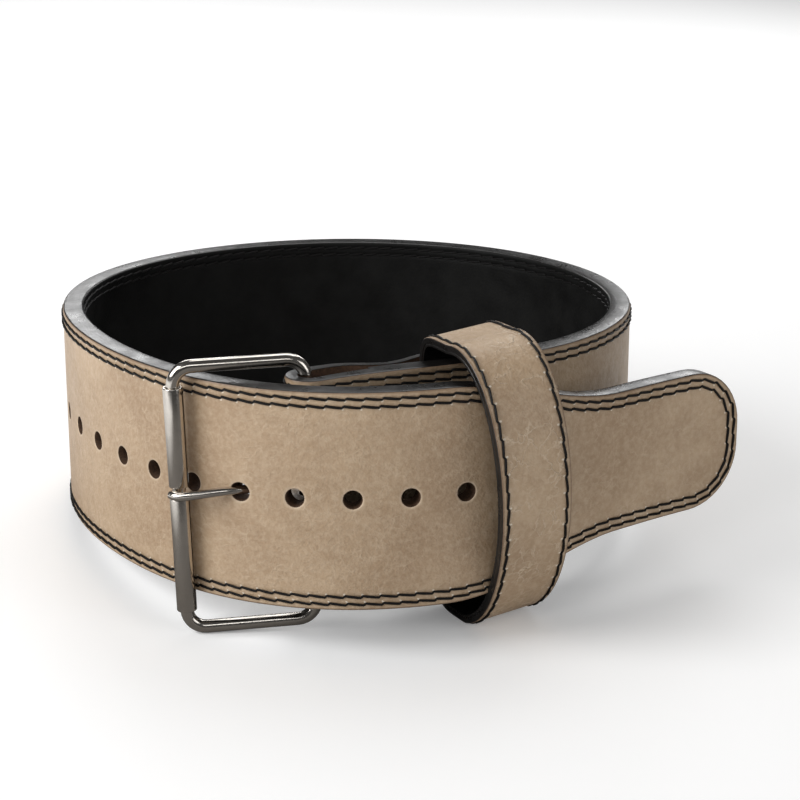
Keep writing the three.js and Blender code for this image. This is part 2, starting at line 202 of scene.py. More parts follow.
class BuckleSizes(bpy.types.PropertyGroup):
    """Sizes of the buckle"""
    wire: length(0.006, "Wire", "Diameter of the frame's wire")
    depth: length(0.058, "Depth", "Distance between the rear and the front bar")
    height: length(0.122, "Height", "Height of the frame between its wire's middles")
    corner: length(0.0085, "Corner", "Bend radius of the frame's corners")
    roller: length(0.009, "Roller", "Diameter of the roller sleeves")
    roller_wall: length(0.0012, "Roller wall", "Thickness of the rolled sheet")
    prong: length(0.004, "Prong", "Diameter of the prong")
    eye: length(0.0053, "Prong eye", "Radius of the eye round the rear bar")


class KeeperSizes(bpy.types.PropertyGroup):
    """Sizes of the keeper loop"""
    width: length(0.036, "Width", "Width of the keeper along the strap")
    height: length(0.134, "Height", "Height of the loop")
    depth: length(0.067084, "Depth", "Depth of the loop from front to rear")
    front: length(0.040, "Front bow", "How far the bowed front reaches")
    rise: number(0.24, "Rise", "How high the foremost point rides")
    square: number(6.0, "Squareness", "How square the loop's rear is")
    leather: length(0.0025, "Leather", "Thickness of the keeper's tan leather")
    lining: length(0.0013, "Lining", "Thickness of the keeper's lining")


class BeltColours(bpy.types.PropertyGroup):
    """Colours of the belt"""
    leather_light: colour(
        (0.490, 0.354, 0.228), "Leather, light", "Pale patches of the tan leather")
    leather_dark: colour(
        (0.350, 0.236, 0.141), "Leather, dark", "Darker patches of the tan leather")
    # Worn leather for flecks and creases, also the painted highlight round the holes
    leather_worn_and_highlight: colour(
        (0.640, 0.510, 0.370), "Leather, worn", "Stretched leather at hole rims and stitches")
    # Painted highlight: the pale dots beside the stitch holes
    needle_highlights: colour((0.76, 0.67, 0.55), "Needle marks", "Pale marks where the stitches go in")
    raw_leather: colour((0.100, 0.050, 0.025), "Raw leather", "Cut and flesh sides of the leather")
    lining: colour((0.0042, 0.0042, 0.0040), "Lining", "Black lining leather")
    edge_paint: colour((0.0085, 0.0075, 0.0070), "Edge paint", "Black paint on the cut edges")
    thread: colour((0.005, 0.0045, 0.0045), "Thread", "Black waxed thread")
    steel: colour((0.640, 0.600, 0.550), "Steel", "Nickel plating on the buckle")


class StudioSettings(bpy.types.PropertyGroup):
    """Camera, floor and lights"""
    lens: number(98.06, "Lens", "Focal length on a 36 mm sensor, in millimetres")
    key: watts(25.5, "Key light", "Power of the large light at the left")
    fill: watts(4.5, "Fill light", "Power of the light at the right")
    overhead: watts(6.5, "Overhead light", "Power of the light above and behind")
    rim: watts(1.9, "Rim lights", "Power of the small lights low behind the belt")
    front: watts(3.6, "Front strip", "Power of the long light above the camera")
    sky: number(0.22, "Surround", "Strength of the pale surround")
    sky_seen: number(0.07, "Surround in steel", "Strength of the surround in reflections")
    floor_size: length(8.0, "Floor", "Width of the floor")
    floor_colour: colour((0.90, 0.90, 0.90), "Floor colour", "Pale studio floor")
    floor_glow: number(0.16, "Floor glow", "Lifts the floor's shadows a little for the camera")
    # Painted reflection: the floor's colour in glossy rays only, darker in front of the belt away
    # from the key
    floor_dark_in_reflections: colour(
        (0.19, 0.18, 0.17), "Floor in steel", "Floor as the steel reflects it, away from the key")


class Strap:
    """The strap's run in plan, its outline when flat, and how the flat sheet is bent"""

    def __init__(self, scene):
        self.sizes = scene.belt_sizes
        self.stitch = scene.belt_stitches
        self.keeper = scene.belt_keeper
        sizes = self.sizes
        self.rest = rest_matrix()
        self.thickness = sizes.leather + sizes.glue_gap + sizes.lining
        self.fold_radius = sizes.fold_leather + sizes.fold_slack + scene.belt_buckle.wire / 2
        self.fold_length = math.pi * self.fold_radius
        self.tip_start = sizes.strap_length - sizes.tip_radius
        self.nose = sizes.tail_width / 2 - sizes.tip_radius
        self.hole_offset = sizes.hole_height - sizes.strap_width / 2
        self.arcs = []
        along, x, y, heading = 0.0, 0.0, 0.0, math.radians(START_HEADING)
        for share, turn in BENDS:
            full = share * sizes.strap_length
            curve = math.radians(turn) / full
            self.arcs.append((along, x, y, heading, curve))
            end = heading + curve * full
            x += (math.sin(end) - math.sin(heading)) / curve
            y -= (math.cos(end) - math.cos(heading)) / curve
            along, heading = along + full, end
        self.known = {}
        foot, _, inward = self.at(0.0)
        self.rear_bar = foot + inward * self.fold_radius

    def at(self, along):
        """Point on the outer face, forward and inward directions, in plan."""
        key = round(along, 7)
        if key not in self.known:
            start, x, y, heading, curve = max(
                (arc for arc in self.arcs if arc[0] <= max(along, 0.0)), key=lambda arc: arc[0])
            end = heading + curve * (along - start)
            x += (math.sin(end) - math.sin(heading)) / curve
            y -= (math.cos(end) - math.cos(heading)) / curve
            forward = Vector((math.cos(end), math.sin(end), 0))
            inward = Vector((-math.sin(end), math.cos(end), 0))
            self.known[key] = (Vector((x, y, 0)), forward, inward)
        return self.known[key]

    def half_width(self, along):
        """Half the width of the flat strap, before the round tip."""
        sizes = self.sizes
        end = sizes.strap_length - sizes.tail_straight
        share = ease(along, end - sizes.tail_taper, end)
        return mix(sizes.strap_width, sizes.tail_width, share) / 2

    def inner_half(self, along):
        """Half the width inside the band at the edge, the tip's curve included."""
        if along <= self.tip_start:
            return self.half_width(along) - BAND
        radius = self.sizes.tip_radius - BAND
        into = min(along - self.tip_start, radius)
        return self.nose + math.sqrt(radius ** 2 - into ** 2)

    def outward(self, place, start):
        """Direction from a point of the band straight out to the nearest edge."""
        side = math.copysign(1.0, place.y)
        if place.x > self.tip_start + TINY:
            if abs(place.y) > self.nose + TINY:
                corner = Vector((self.tip_start, side * self.nose))
                return (place.xy - corner).normalized()
            return Vector((1, 0))
        if place.x < start + BAND + TINY:
            at_corner = abs(place.y) > self.sizes.strap_width / 2 - BAND - TINY
            return Vector((-1, side if at_corner else 0))
        return Vector((0, side))

    def sewn_from(self, inside=False):
        """Where the rows of stitches begin, outside or inside."""
        flap_end = -self.fold_length - self.sizes.flap_reach
        return (self.sizes.lining_start if inside else flap_end) + self.stitch.inner_row

    def flap_depth(self, along):
        """Depth of the flap's near side behind the outer face."""
        sizes = self.sizes
        point, _, inward = self.at(along)
        at_bar = 2 * self.fold_radius - sizes.fold_leather
        closed = mix(at_bar, self.thickness + sizes.glue_gap, ease(along, *FLAP_CLOSES))
        yaw = math.radians(KEEPER_YAW)
        square = Vector((-math.sin(yaw), math.cos(yaw), 0))
        rear = Vector(KEEPER_PLACE).xy.to_3d() * MM + square * (self.keeper.depth + sizes.glue_gap)
        to_rear = (rear - point).dot(square) / inward.dot(square)
        return mix(closed, to_rear, ease(along, *FLAP_MEETS_KEEPER))

    def bend_leather(self, along, across, depth):
        """Bends a point of the flat leather; depth is measured from the grain side."""
        sizes = self.sizes
        share = depth / sizes.leather
        height = sizes.strap_width / 2 + across
        if along >= 0:
            point, _, inward = self.at(along)
            thick = mix(sizes.fold_leather, sizes.leather, ease(along, 0, sizes.lining_start))
            place = point + inward * thick * share
        elif along >= -self.fold_length:
            _, forward, inward = self.at(0.0)
            angle = -along / self.fold_radius
            out = -inward * math.cos(angle) - forward * math.sin(angle)
            place = self.rear_bar + out * (self.fold_radius - sizes.fold_leather * share)
        else:
            behind = -along - self.fold_length
            point, _, inward = self.at(behind)
            thick = mix(sizes.fold_leather, sizes.flap_leather, ease(behind, 0, FLAP_CLOSES[1]))
            place = point + inward * (self.flap_depth(behind) + thick * (1 - share))
        return self.rest @ Vector((place.x, place.y, height))

    def bend_lining(self, along, across, depth):
        """Bends a point of the flat lining; depth is measured from its shown side."""
        point, _, inward = self.at(along)
        place = point + inward * (self.thickness - depth)
        return self.rest @ Vector((place.x, place.y, self.sizes.strap_width / 2 + across))


class Loop:
    """The keeper's closed outline, walked by length, and how its flat sheet is bent"""

    SAMPLES = 720
    SMOOTHINGS = 6

    def __init__(self, scene):
        self.sizes = scene.belt_keeper
        self.stitch = scene.belt_stitches
        self.place = standing_matrix(KEEPER_PLACE, KEEPER_YAW, KEEPER_PITCH)
        turns = (2 * math.pi * i / self.SAMPLES for i in range(self.SAMPLES))
        rough = [self.outline(turn) for turn in turns]
        points = self.even(rough, self.SAMPLES)
        for _ in range(self.SMOOTHINGS):
            points = [(points[i - 1] + points[i] * 2 + points[(i + 1) % len(points)]) / 4
                      for i in range(len(points))]
        self.points = points
        self.length = sum((points[i] - points[i - 1]).length for i in range(len(points)))

    def outline(self, turn):
        sizes = self.sizes
        c, s = math.cos(turn), math.sin(turn)
        half = sizes.height / 2
        if c >= 0:
            return Vector((sizes.front * (1 - c), half * s + sizes.rise * sizes.front * c))
        reach = sizes.depth - sizes.front
        power = 2 / sizes.square
        return Vector((sizes.front + reach * abs(c) ** power,
                       half * math.copysign(abs(s) ** power, s)))

    @staticmethod
    def even(points, count):
        """The same closed outline with its points spread evenly."""
        ends = points[1:] + points[:1]
        steps = [(b - a).length for a, b in zip(points, ends)]
        total, spread, row, walked = sum(steps), [], 0, 0.0
        for i in range(count):
            target = total * i / count
            while walked + steps[row] < target:
                walked += steps[row]
                row += 1
            spread.append(points[row].lerp(ends[row], (target - walked) / steps[row]))
        return spread

    def bend(self, along, across, depth):
        """Bends a point of the flat keeper; depth is measured from the grain side."""
        count = len(self.points)
        position = (along / self.length % 1.0) * count
        row = int(position) % count
        here, after = self.points[row], self.points[(row + 1) % count]
        ahead = self.points[(row + 2) % count]
        share = position - int(position)
        tangent = ((after - self.points[row - 1]).lerp(ahead - here, share)).normalized()
        out = Vector((-tangent.y, tangent.x))
        place = here.lerp(after, share) - out * depth
        return self.place @ Vector((across, place.x, place.y))


def new_piece(name, bm, finishes, slot, *nodes):
    """Makes a finished piece of a mesh, rides it on the belt and hides the solids it stands for.
    """
    bmesh.ops.recalc_face_normals(bm, faces=bm.faces)
    for face in bm.faces:
        face.smooth = True
    for edge in bm.edges:
        edge.smooth = not edge.is_manifold or edge.calc_face_angle() < math.radians(SHARP_ANGLE)
    mesh = bpy.data.meshes.new(name)
    bm.to_mesh(mesh)
    bm.free()
    for material in finishes:
        mesh.materials.append(finish(material))
    piece = bpy.data.objects.new(name, mesh)
    bpy.context.scene.collection.objects.link(piece)
    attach(piece, "root")
    if nodes:
        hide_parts(*nodes)
    return piece


def only(kind, geometry):
    return [item for item in geometry if isinstance(item, kind)]


def next_ring(bm, edges):
    """Extrudes a line of edges, and gives the new points and the new line."""
    grown = bmesh.ops.extrude_edge_only(bm, edges=edges)["geom"]
    verts = only(bmesh.types.BMVert, grown)
    here = set(verts)
    return verts, [edge for edge in only(bmesh.types.BMEdge, grown) if set(edge.verts) <= here]


def round_section(bm, sides, radius, place, capped=False):
    """Draws a circle, and gives its edges."""
    ring = bmesh.ops.create_circle(
        bm, cap_ends=capped, segments=sides, radius=radius, matrix=place)["verts"]
    return list({edge for vert in ring for edge in vert.link_edges})


def thicken(bm, depth):
    """Closes the flat sheet below its shown side at a depth."""
    grown = bmesh.ops.extrude_face_region(bm, geom=bm.faces[:], use_keep_orig=True)["geom"]
    shown = set(only(bmesh.types.BMVert, grown))
    for vert in bm.verts:
        if vert not in shown:
            vert.co.z = -depth


def grow_band(bm, outward, reach, rings):
    """Grows the sheet's outline ring by ring: distance from the edge, and depth."""
    rim = bm.verts.layers.float["rim"]
    edges = [edge for edge in bm.edges if edge.is_boundary]
    for distance, depth in rings:
        verts, edges = next_ring(bm, edges)
        for vert in verts:
            vert.co.xy += outward(vert.co) * (reach - distance)
            vert.co.z = -depth
            vert[rim] = distance
        reach = distance


def band_rings(rows, groove, rounding):
    """Distances and depths across the edge band, grooved at the stitch rows."""
    rings = []
    for row in sorted(rows, reverse=True):
        rings += [(row + GROOVE_TOP, 0), (row + GROOVE_BED, groove * 0.8), (row, groove),
                  (row - GROOVE_BED, groove * 0.8), (row - GROOVE_TOP, 0)]
    steps = 4
    for i in range(steps + 1):
        turn = math.pi / 2 * i / steps
        rings.append((rounding * (1 - math.sin(turn)), rounding * (1 - math.cos(turn))))
    return rings


def columns_along(strap, start):
    """Distances along the strap where the flat sheet has a column."""
    sizes = strap.sizes
    first = sizes.prong_along - (HOLES_FROM_TIP + 0.5) * sizes.hole_pitch
    last = sizes.prong_along + (HOLES_TO_TIP + 0.5) * sizes.hole_pitch
    turns = (-strap.fold_length - sizes.slot_reach, -strap.fold_length, 0.0, sizes.slot_reach)
    stops = [start + BAND] + [stop for stop in turns if stop > start + BAND] + [first]
    columns = []
    for low, high in zip(stops, stops[1:]):
        count = math.ceil((high - low) / COLUMN_STEP)
        columns += [low + (high - low) * i / count for i in range(count)]
    count = HOLE_CELLS * (HOLES_FROM_TIP + HOLES_TO_TIP + 1)
    columns += [first + (last - first) * i / count for i in range(count)]
    count = math.ceil((strap.tip_start - last) / COLUMN_STEP)
    columns += [last + (strap.tip_start - last) * i / count for i in range(count)]
    radius = sizes.tip_radius - BAND
    columns += [strap.tip_start + radius * math.sin(math.pi / 2 * i / TIP_STEPS)
                for i in range(TIP_STEPS + 1)]
    return columns


def row_offset(strap, row, along):
    """Offset of a row from the strap's middle: even at the holes, spread to the band."""
    inner = strap.inner_half(along)
    shrink = min(1.0, inner / (20 * MM))
    cell = strap.sizes.hole_pitch / HOLE_CELLS
    middle = row - OUTER_ROWS - BLOCK_CELLS
    if abs(middle) <= BLOCK_CELLS:
        return (strap.hole_offset + middle * cell) * shrink
    side = math.copysign(1.0, middle)
    from_block = (strap.hole_offset + side * BLOCK_CELLS * cell) * shrink
    return mix(from_block, side * inner, (abs(middle) - BLOCK_CELLS) / OUTER_ROWS)


def round_angle(offset):
    """Spreads the outline of a square evenly round a circle."""
    if abs(offset.x) >= abs(offset.y):
        return (0 if offset.x > 0 else math.pi) + math.pi / 4 * offset.y / offset.x
    return math.copysign(math.pi / 2, offset.y) - math.pi / 4 * offset.x / offset.y


def punch(bm, centre, shift, radii, lip):
    """Opens a hole: its block of cells goes, and the rim grows in from the block's outline."""
    near = BLOCK_CELLS * bpy.context.scene.belt_sizes.hole_pitch / HOLE_CELLS + TINY

    def inside(point):
        return abs(point.x - centre.x) < near and abs(point.y - centre.y) < near

    faces = [face for face in bm.faces if inside(face.calc_center_median())]
    bmesh.ops.delete(bm, geom=faces, context="FACES")
    edges = [edge for edge in bm.edges if edge.is_boundary
             and all(inside(vert.co) for vert in edge.verts)]
    bore = bm.verts.layers.float["bore"]
    for share, depth in RIM_PROFILE:
        verts, edges = next_ring(bm, edges)
        for vert in verts:
            offset = vert.co - centre
            angle = round_angle(offset) if share == RIM_PROFILE[0][0] else math.atan2(
                offset.y / radii[1], (offset.x - shift) / radii[0])
            vert.co.x = centre.x + shift + (radii[0] + lip * share) * math.cos(angle)
            vert.co.y = centre.y + (radii[1] + lip * share) * math.sin(angle)
            vert.co.z = -lip * depth
            vert[bore] = lip * share


def mark_rows(bm, strap, start):
    """Notes on every point near a row how many stitches lie before it."""
    rim = bm.verts.layers.float["rim"]
    sewn = bm.verts.layers.float["sewn"]
    outer, inner = strap.stitch.outer_row, strap.stitch.inner_row
    rows = [edge_row(strap, distance, start) for distance in (outer, inner)]
    for vert in bm.verts:
        near_outer = vert[rim] < (outer + inner) / 2
        vert[sewn] = rows[0 if near_outer else 1].before(vert.co) if vert[rim] < BAND else 0.0


def flat_sheet(strap, start, thickness, slotted, oval):
    """The strap cut flat, grain side up: band, holes, slot and full thickness.

    Oval is how much longer the prong's hole is than the others, and how far it is shifted.
    """
    sizes = strap.sizes
    columns = columns_along(strap, start)
    rows = 2 * (OUTER_ROWS + BLOCK_CELLS)
    bm = bmesh.new()
    rim = bm.verts.layers.float.new("rim")
    bore = bm.verts.layers.float.new("bore")
    bm.verts.layers.float.new("sewn")
    count = len(columns) - 1
    bmesh.ops.create_grid(bm, x_segments=count, y_segments=rows, size=0.5)
    if len(bm.verts) != (count + 1) * (rows + 1):
        raise RuntimeError("the flat sheet has the wrong number of cells")
    for vert in bm.verts:
        along = columns[round((vert.co.x + 0.5) * count)]
        row = round((vert.co.y + 0.5) * rows)
        vert.co = (along, row_offset(strap, row, along), 0)
        vert[rim] = BAND
    stitch = strap.stitch
    rings = band_rings((stitch.outer_row, stitch.inner_row), stitch.groove, STRAP_ROUNDING)
    grow_band(bm, lambda place: strap.outward(place, start), BAND, rings)
    mark_rows(bm, strap, start + stitch.inner_row)
    radius = sizes.hole_diameter / 2
    centres = [Vector((sizes.prong_along + number * sizes.hole_pitch, strap.hole_offset, 0))
               for number in range(-HOLES_FROM_TIP, HOLES_TO_TIP + 1)]
    for vert in bm.verts:
        nearest = min((vert.co.xy - centre.xy).length for centre in centres) - radius
        vert[bore] = min(FAR_FROM_BORE, max(AT_BORE, nearest))
    for number, centre in enumerate(centres):
        is_prong = number == HOLES_FROM_TIP
        radii = (radius * (oval[0] if is_prong else 1), radius)
        punch(bm, centre, oval[1] if is_prong else 0, radii, HOLE_LIP)
    if slotted:
        half = BLOCK_CELLS * sizes.hole_pitch / HOLE_CELLS
        middles = ((face, face.calc_center_median()) for face in bm.faces)
        slot = [face for face, middle in middles
                if -strap.fold_length - sizes.slot_reach < middle.x < sizes.slot_reach
                and abs(middle.y - strap.hole_offset) < half]
        bmesh.ops.delete(bm, geom=slot, context="FACES")
    thicken(bm, thickness)
    lay_flat_map(bm)
    for face in bm.faces:
        if max(vert[rim] for vert in face.verts) < STRAP_PAINTED:
            face.material_index = 1
        elif (max(vert[bore] for vert in face.verts) < AT_BORE + 0.05 * MM
              or max(vert.co.z for vert in face.verts) < -thickness + TINY):
            face.material_index = 2
    return bm


def lay_flat_map(bm):
    """The flat pattern is the piece's own map, in metres."""
    layer = bm.loops.layers.uv.new("flat")
    for face in bm.faces:
        for corner in face.loops:
            corner[layer].uv = corner.vert.co.xy


def bend_sheet(bm, bend):
    for vert in bm.verts:
        vert.co = bend(vert.co.x, vert.co.y, -vert.co.z)


def stitch_template(pitch, thread, lean):
    """One stitch: it leans across its row and dives into the leather at both ends."""
    bm = bmesh.new()
    half, rise = pitch / 2, thread / 2
    route = ((-1.0, 1.0, -0.9, 0.5), (-0.93, 1.0, 0.0, 0.85), (-0.5, 0.6, 0.4, 1.0),
             (0.3, -0.3, 0.5, 1.0), (0.84, -1.0, 0.25, 0.95), (0.96, -0.2, 0.1, 0.85),
             (1.03, 0.8, -0.9, 0.5))
    points = [Vector((x * half, y * lean, z * rise)) for x, y, z, _ in route]
    sweep(bm, points, [rise * share for *_, share in route], 6)
    mesh = bpy.data.meshes.new("stitch")
    bm.to_mesh(mesh)
    bm.free()
    return mesh


class Row:
    """A row of stitches: its flat route, and how many stitches lie before a place"""

    def __init__(self, route, pitch):
        self.route = route
        self.walked = [0.0]
        for a, b in zip(route, route[1:]):
            self.walked.append(self.walked[-1] + (b - a).length)
        self.count = round(self.walked[-1] / pitch)
        self.pitch = self.walked[-1] / self.count

    def at(self, distance):
        """Place and direction at a distance along the route."""
        index = min(bisect(self.walked, distance), len(self.route) - 1) - 1
        ahead = (self.route[index + 1] - self.route[index]).normalized()
        return self.route[index] + ahead * (distance - self.walked[index]), ahead


def edge_row(strap, distance, start):
    """A row along one edge from a start, round the tip, and back along the other edge."""
    count = math.ceil((strap.tip_start - start) / COLUMN_STEP)
    edge = [start + (strap.tip_start - start) * i / count for i in range(count)]
    half = [Vector((along, distance - strap.half_width(along))) for along in edge]
    radius = strap.sizes.tip_radius - distance
    for i in range(TIP_STEPS + 1):
        turn = math.pi / 2 * i / TIP_STEPS
        half.append(Vector((strap.tip_start + radius * math.sin(turn),
                            -strap.nose - radius * math.cos(turn))))
    route = half + [Vector((point.x, -point.y)) for point in reversed(half)]
    row = Row(route, strap.stitch.pitch)

    def stitches_before(place):
        across = abs(place.y)
        if place.x <= strap.tip_start:
            index = min(count, max(0, int((place.x - start) / (edge[1] - edge[0]))))
            beyond = place.x - route[index].x
            return (row.walked[index] + beyond) / row.pitch
        if across <= strap.nose:
            return (row.walked[-1] / 2 - across) / row.pitch
        turn = math.atan2(place.x - strap.tip_start, across - strap.nose)
        return (row.walked[count] + radius * turn) / row.pitch

    row.before = stitches_before
    return row


def sew(bm, template, row, side, bend):
    """Sets stitches at even steps along a flat row, then bends them with the leather."""
    for i in range(row.count):
        place, ahead = row.at((i + 0.5) * row.pitch)
        first = len(bm.verts)
        bm.from_mesh(template)
        bm.verts.ensure_lookup_table()
        turn = Matrix.Rotation(math.atan2(ahead.y, ahead.x), 4, "Z")
        move = Matrix.Translation((place.x, place.y, 0)) @ turn @ Matrix.Scale(side, 4, (0, 1, 0))
        for vert in bm.verts[first:]:
            flat = move @ vert.co
            vert.co = bend(flat.x, flat.y, -flat.z)


def aim(points, index, before):
    """Matrix that sets a section square to the route at one of its points."""
    low, high = max(index - 1, 0), min(index + 1, len(points) - 1)
    tangent = (points[high] - points[low]).normalized()
    old = before.to_3x3() @ Vector((0, 0, 1))
    turn = old.rotation_difference(tangent).to_matrix().to_4x4()
    return Matrix.Translation(points[index]) @ turn @ before.to_3x3().to_4x4()


def sweep(bm, points, radii, sides):
    """Draws a round section along a route and closes both ends."""
    placed = aim(points, 0, Matrix.Identity(4))
    edges = round_section(bm, sides, radii[0], placed, capped=True)
    for index in range(1, len(points)):
        verts, edges = next_ring(bm, edges)
        after = aim(points, index, placed)
        size = Matrix.Scale(radii[index] / radii[index - 1], 4)
        bmesh.ops.transform(bm, matrix=after @ size @ placed.inverted(), verts=verts)
        placed = after
    bmesh.ops.contextual_create(bm, geom=edges)


def smooth_route(controls, steps):
    """A smooth curve through every point, even where their distances differ."""
    points = [Vector(control) for control in controls]
    ends = [points[0] * 2 - points[1]] + points + [points[-1] * 2 - points[-2]]
    route = []
    for a, b, c, d in zip(ends, ends[1:], ends[2:], ends[3:]):
        knots = [0.0]
        for low, high in ((a, b), (b, c), (c, d)):
            knots.append(knots[-1] + math.sqrt((high - low).length))
        t0, t1, t2, t3 = knots
        for i in range(steps):
            t = mix(t1, t2, i / steps)
            ab = a.lerp(b, (t - t0) / (t1 - t0))
            bc = b.lerp(c, (t - t1) / (t2 - t1))
            cd = c.lerp(d, (t - t2) / (t3 - t2))
            near = ab.lerp(bc, (t - t0) / (t2 - t0))
            far = bc.lerp(cd, (t - t1) / (t3 - t1))
            route.append(near.lerp(far, (t - t1) / (t2 - t1)))
    return route + [points[-1]]


class Nodes:
    """A material's or the world's node tree, built by name"""

    def __init__(self, owner, shader="Principled BSDF"):
        owner.use_nodes = True
        self.owner, self.tree = owner, owner.node_tree
        self.shader = self.tree.nodes[shader]

    def put(self, target, value):
        """Sets a socket to a value, or links it to another node's output."""
        if isinstance(value, bpy.types.NodeSocket):
            self.tree.links.new(value, target)
        else:
            target.default_value = (*value[:3], 1.0) if target.type == "RGBA" else value

    def put_named(self, node, sockets):
        for name, value in sockets.items():
            self.put(node.inputs[name.replace("_", " ")], value)

    def add(self, kind, settings=(), **sockets):
        node = self.tree.nodes.new("ShaderNode" + kind)
        for key, value in dict(settings).items():
            setattr(node, key, value)
        self.put_named(node, sockets)
        return node

    def blend(self, share, a, b):
        """Mixes two colours by a share, and gives the output."""
        node = self.add("Mix", {"data_type": "RGBA"})
        colours = [socket for socket in node.inputs if socket.type == "RGBA"]
        for target, value in zip((node.inputs[0], *colours), (share, a, b)):
            self.put(target, value)
        return next(socket for socket in node.outputs if socket.type == "RGBA")

    def noise(self, where, scale, detail=3.0, roughness=0.5, distortion=0.0):
        return self.add("TexNoise", Vector=where, Scale=scale, Detail=detail,
                        Roughness=roughness, Distortion=distortion).outputs["Fac"]

    def remap(self, value, low, high, to_low=0.0, to_high=1.0):
        return self.add("MapRange", Value=value, From_Min=low, From_Max=high,
                        To_Min=to_low, To_Max=to_high).outputs["Result"]

    def math(self, operation, *values, kind="Math"):
        node = self.add(kind, {"operation": operation})
        for target, value in zip(node.inputs, values):
            self.put(target, value)
        return node.outputs[0]

    def bump(self, height, distance, strength=1.0, under=None):
        node = self.add("Bump", Height=height, Distance=distance, Strength=strength)
        if under:
            self.put(node.inputs["Normal"], under)
        return node.outputs["Normal"]

    def attribute(self, name):
        """A value noted on the piece's points."""
        return self.add("Attribute", {"attribute_name": name}).outputs["Fac"]

    def finish(self, **sockets):
        self.put_named(self.shader, sockets)
        return self.owner


def new_finish(name):
    """A new material's nodes, and the place on the piece that its patterns follow."""
    nodes = Nodes(bpy.data.materials.new(name))
    return nodes, nodes.add("TexCoord").outputs["Object"]


def scaled(shade, factor):
    return [channel * factor for channel in shade]


def needle_highlights(nodes, rim):
    """Small painted highlights where the stitches go in, beside each row, where the leather bulges
    at the stitch holes.
    """
    stitch = bpy.context.scene.belt_stitches
    past = nodes.math("FRACT", nodes.math("ADD", nodes.attribute("sewn"), 0.5))
    across = nodes.math("MULTIPLY", nodes.math("SUBTRACT", past, 0.5), stitch.pitch)
    marks = 0.0
    for row in (stitch.outer_row, stitch.inner_row):
        away = nodes.math("SUBTRACT", rim, row + NEEDLE_HIGHLIGHT_INSIDE)
        square = nodes.math("ADD", nodes.math("MULTIPLY", away, away),
                            nodes.math("MULTIPLY", across, across))
        mark = nodes.remap(nodes.math("SQRT", square), NEEDLE_HIGHLIGHT_RADIUS, 1.8 * NEEDLE_HIGHLIGHT_RADIUS,
                           0.9, 0.0)
        marks = nodes.math("MAXIMUM", mark, marks)
    return marks


def grain_leather(colours, name="tan leather", creased=0.25):
    """Tan leather: cloudy colour, fine pores and pulled creases; paler at the hole rims, partly
    stretched leather and partly painted highlight; painted highlights beside the stitches.
    """
    nodes, where = new_finish(name)
    clouds = nodes.remap(nodes.noise(where, 17.0, 4.0, 0.55, 0.4), 0.36, 0.66)
    patches = nodes.remap(nodes.noise(where, 75.0, 3.0, 0.6, 0.8), 0.38, 0.70, 0.0, 0.55)
    flecks = nodes.remap(nodes.noise(where, 420.0, 3.0, 0.65, 0.3), 0.40, 0.66, 0.0, 0.28)
    base = nodes.blend(clouds, colours.leather_light, colours.leather_dark)
    base = nodes.blend(patches, base, colours.leather_dark)
    base = nodes.blend(flecks, base, colours.leather_worn_and_highlight)
    swirl = nodes.add("TexNoise", Vector=where, Scale=120.0, Detail=3.0).outputs["Color"]
    pulled = nodes.math("MULTIPLY_ADD", swirl, (0.016,) * 3, where, kind="VectorMath")
    web = nodes.add("TexVoronoi", {"feature": "DISTANCE_TO_EDGE"},
                    Vector=pulled, Scale=135.0).outputs["Distance"]
    broken = nodes.remap(nodes.noise(where, 90.0, 2.0), 0.42, 0.62)
    line = nodes.math("MULTIPLY", nodes.remap(web, 0.0, 0.075, 1.0, 0.0), broken)
    base = nodes.blend(nodes.remap(line, 0, 1, 0, creased), base, colours.leather_worn_and_highlight)
    # Paler ring round each hole: partly stretched leather, partly a painted highlight
    stretched_and_highlit = nodes.remap(nodes.attribute("bore"), 0.0003, 0.0015, 0.55, 0.0)
    base = nodes.blend(stretched_and_highlit, base, colours.leather_worn_and_highlight)
    rim = nodes.attribute("rim")
    base = nodes.blend(nodes.remap(rim, 0.0003, 0.0014, 0.75, 0.0), base, colours.raw_leather)
    # Painted highlights beside the stitch holes
    base = nodes.blend(needle_highlights(nodes, rim), base, colours.needle_highlights)
    pores = nodes.noise(where, 1250.0, 2.0, 0.6)
    pebble = nodes.add("TexVoronoi", Vector=where, Scale=720.0).outputs["Distance"]
    soft = nodes.noise(where, 130.0, 4.0, 0.6)
    normal = nodes.bump(soft, 0.0008, 0.6)
    normal = nodes.bump(pebble, 0.00022, 0.7, normal)
    normal = nodes.bump(pores, 0.00020, 0.7, normal)
    normal = nodes.bump(line, 0.00025, min(1.0, 1.2 * creased), normal)
    rough = nodes.remap(soft, 0.3, 0.7, 0.42, 0.60)
    return nodes.finish(Base_Color=base, Roughness=rough, Normal=normal,
                        Specular_IOR_Level=0.42, Coat_Weight=0.22, Coat_Roughness=0.36)


def creased_leather(colours):
    """The keeper's softer leather, with a web of pulled creases."""
    return grain_leather(colours, "creased leather", 0.75)


def painted_edge(colours):
    """Edge paint: black, satin, slightly uneven over the cut layers."""
    nodes, where = new_finish("edge paint")
    wear = nodes.remap(nodes.noise(where, 160.0, 4.0, 0.6), 0.45, 0.8, 0.0, 0.5)
    base = nodes.blend(wear, colours.edge_paint, scaled(colours.edge_paint, 2.6))
    normal = nodes.bump(nodes.noise(where, 420.0, 3.0, 0.6), 0.00022, 0.6)
    rough = nodes.remap(nodes.noise(where, 90.0), 0.3, 0.7, 0.24, 0.38)
    return nodes.finish(Base_Color=base, Roughness=rough, Normal=normal,
                        Specular_IOR_Level=0.6)


def raw_leather(colours):
    """Cut and flesh sides: brown and fibrous."""
    nodes, where = new_finish("raw leather")
    fibres = nodes.noise(where, 900.0, 4.0, 0.7)
    deep = scaled(colours.raw_leather, 0.45)
    base = nodes.blend(nodes.remap(fibres, 0.35, 0.65), deep, colours.raw_leather)
    normal = nodes.bump(fibres, 0.0004, 0.8)
    return nodes.finish(Base_Color=base, Roughness=0.85, Normal=normal)


